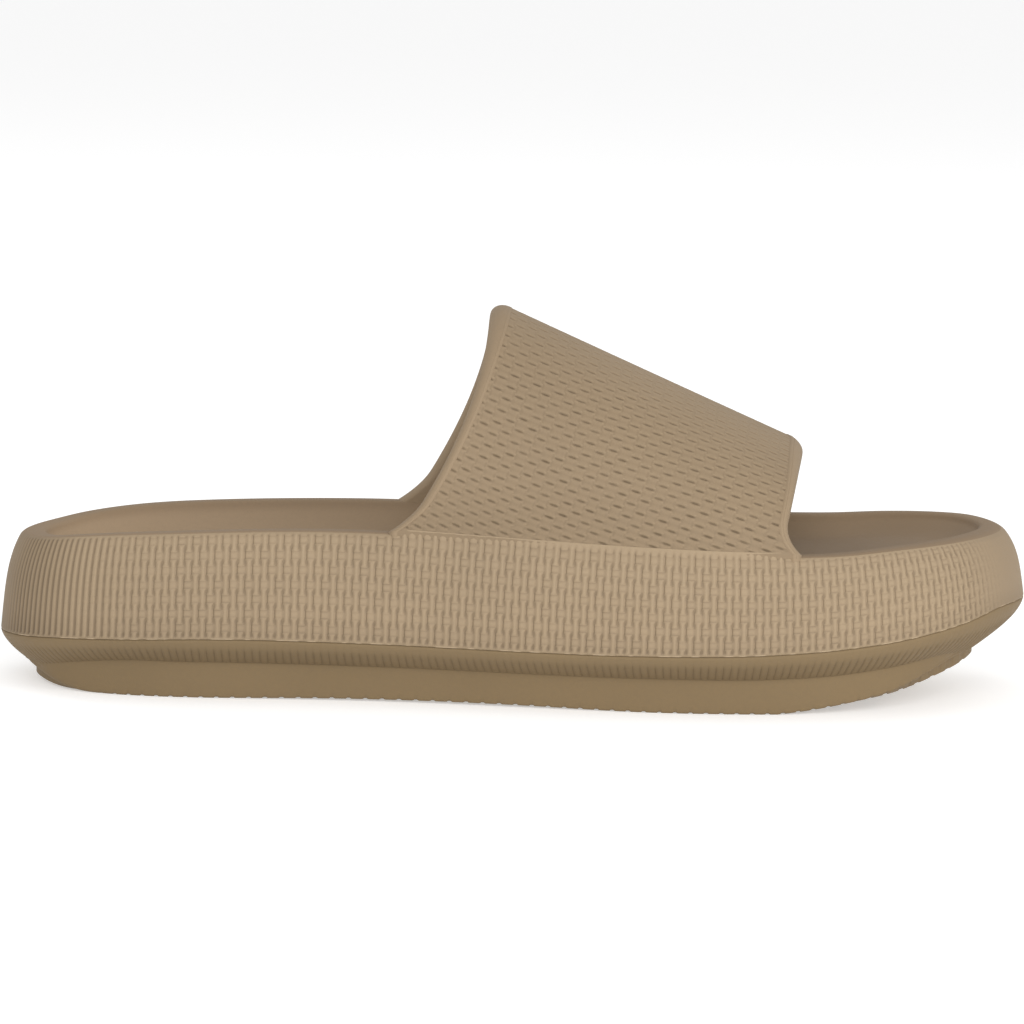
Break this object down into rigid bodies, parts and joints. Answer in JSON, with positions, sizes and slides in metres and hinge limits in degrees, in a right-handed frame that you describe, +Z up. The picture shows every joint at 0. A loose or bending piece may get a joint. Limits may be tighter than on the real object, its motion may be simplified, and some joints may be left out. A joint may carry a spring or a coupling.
{
  "type": "moulded foam slide sandal",
  "caption": "Thick-soled moulded foam slide sandal, right shoe, with a broad open-toe instep strap, a rimmed cupped footbed and a ribbed outsole.",
  "frame": {"origin": "on the floor, under the centre of the sole's plan box", "axes": "+X along the shoe to the toe, +Y to the medial side, +Z up"},
  "size_m": [0.2812, 0.11, 0.1043],
  "materials": {
    "body_foam": "matte moulded foam with a woven relief",
    "outsole_foam": "matte moulded foam, ribbed above a smooth edge"
  },
  "bodies": {
    "root": {"upper_body": "body_foam", "outsole": "outsole_foam"}
  },
  "joints": []
}
